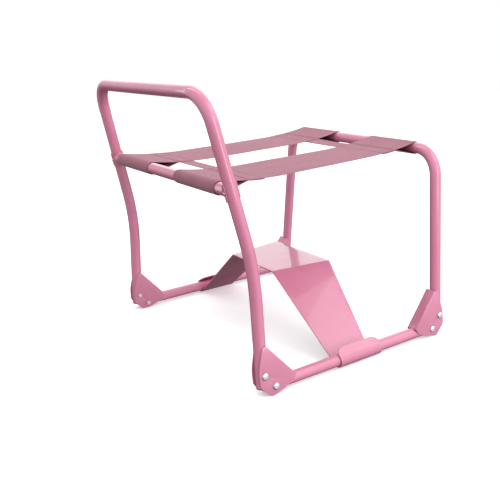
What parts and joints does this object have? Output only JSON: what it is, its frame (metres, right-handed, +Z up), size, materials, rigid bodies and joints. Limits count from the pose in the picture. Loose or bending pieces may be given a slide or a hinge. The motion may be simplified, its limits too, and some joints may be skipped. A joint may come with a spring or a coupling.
{
  "type": "tube-frame stool",
  "caption": "Low tube-frame stool with a hand bar, two elastic seat straps over an open middle, and a folded plate bridging the floor tubes.",
  "frame": {"origin": "middle of the footprint, on the floor", "axes": "+X from the tall hoop with the hand bar to the low hoop, +Y across the stool, +Z up"},
  "size_m": [0.5854, 0.6546, 0.5987],
  "materials": {
    "painted_tube": "gloss",
    "painted_sheet": "gloss",
    "zinc_steel": "satin",
    "elastic_webbing": "matte",
    "plug_plastic": "matte"
  },
  "bodies": {
    "frame": {"tall_hoop": "painted_tube", "low_hoop": "painted_tube", "crossbar": "painted_tube", "floor_tube_near": "painted_tube", "crossbar_saddle_near": "painted_sheet", "saddle_screw_near_1": "zinc_steel", "saddle_screw_near_2": "zinc_steel", "floor_tube_far": "painted_tube", "crossbar_saddle_far": "painted_sheet", "saddle_screw_far_1": "zinc_steel", "saddle_screw_far_2": "zinc_steel", "bracket_tall_near": "painted_sheet", "leg_bolt_tall_near": "zinc_steel", "leg_bolt_nut_tall_near": "zinc_steel", "floor_bolt_tall_near": "zinc_steel", "floor_bolt_nut_tall_near": "zinc_steel", "leg_plug_tall_near": "plug_plastic", "bracket_low_near": "painted_sheet", "leg_bolt_low_near": "zinc_steel", "leg_bolt_nut_low_near": "zinc_steel", "floor_bolt_low_near": "zinc_steel", "floor_bolt_nut_low_near": "zinc_steel", "leg_plug_low_near": "plug_plastic", "bracket_tall_far": "painted_sheet", "leg_bolt_tall_far": "zinc_steel", "leg_bolt_nut_tall_far": "zinc_steel", "floor_bolt_tall_far": "zinc_steel", "floor_bolt_nut_tall_far": "zinc_steel", "leg_plug_tall_far": "plug_plastic", "bracket_low_far": "painted_sheet", "leg_bolt_low_far": "zinc_steel", "leg_bolt_nut_low_far": "zinc_steel", "floor_bolt_low_far": "zinc_steel", "floor_bolt_nut_low_far": "zinc_steel", "leg_plug_low_far": "plug_plastic"},
    "seat_sling": {"strap_near": "elastic_webbing", "strap_far": "elastic_webbing", "cross_band_tall": "elastic_webbing", "cross_band_low": "elastic_webbing"},
    "bridge": {"bridge_plate": "painted_sheet"}
  },
  "joints": [
    {"name": "sling_slide", "type": "slide", "parent": "frame", "child": "seat_sling", "axis": [0, 1, 0], "range_m": [-0.01, 0.006]},
    {"name": "plate_slide", "type": "slide", "parent": "frame", "child": "bridge", "axis": [1, 0, 0], "range_m": [-0.112, 0.102]}
  ]
}
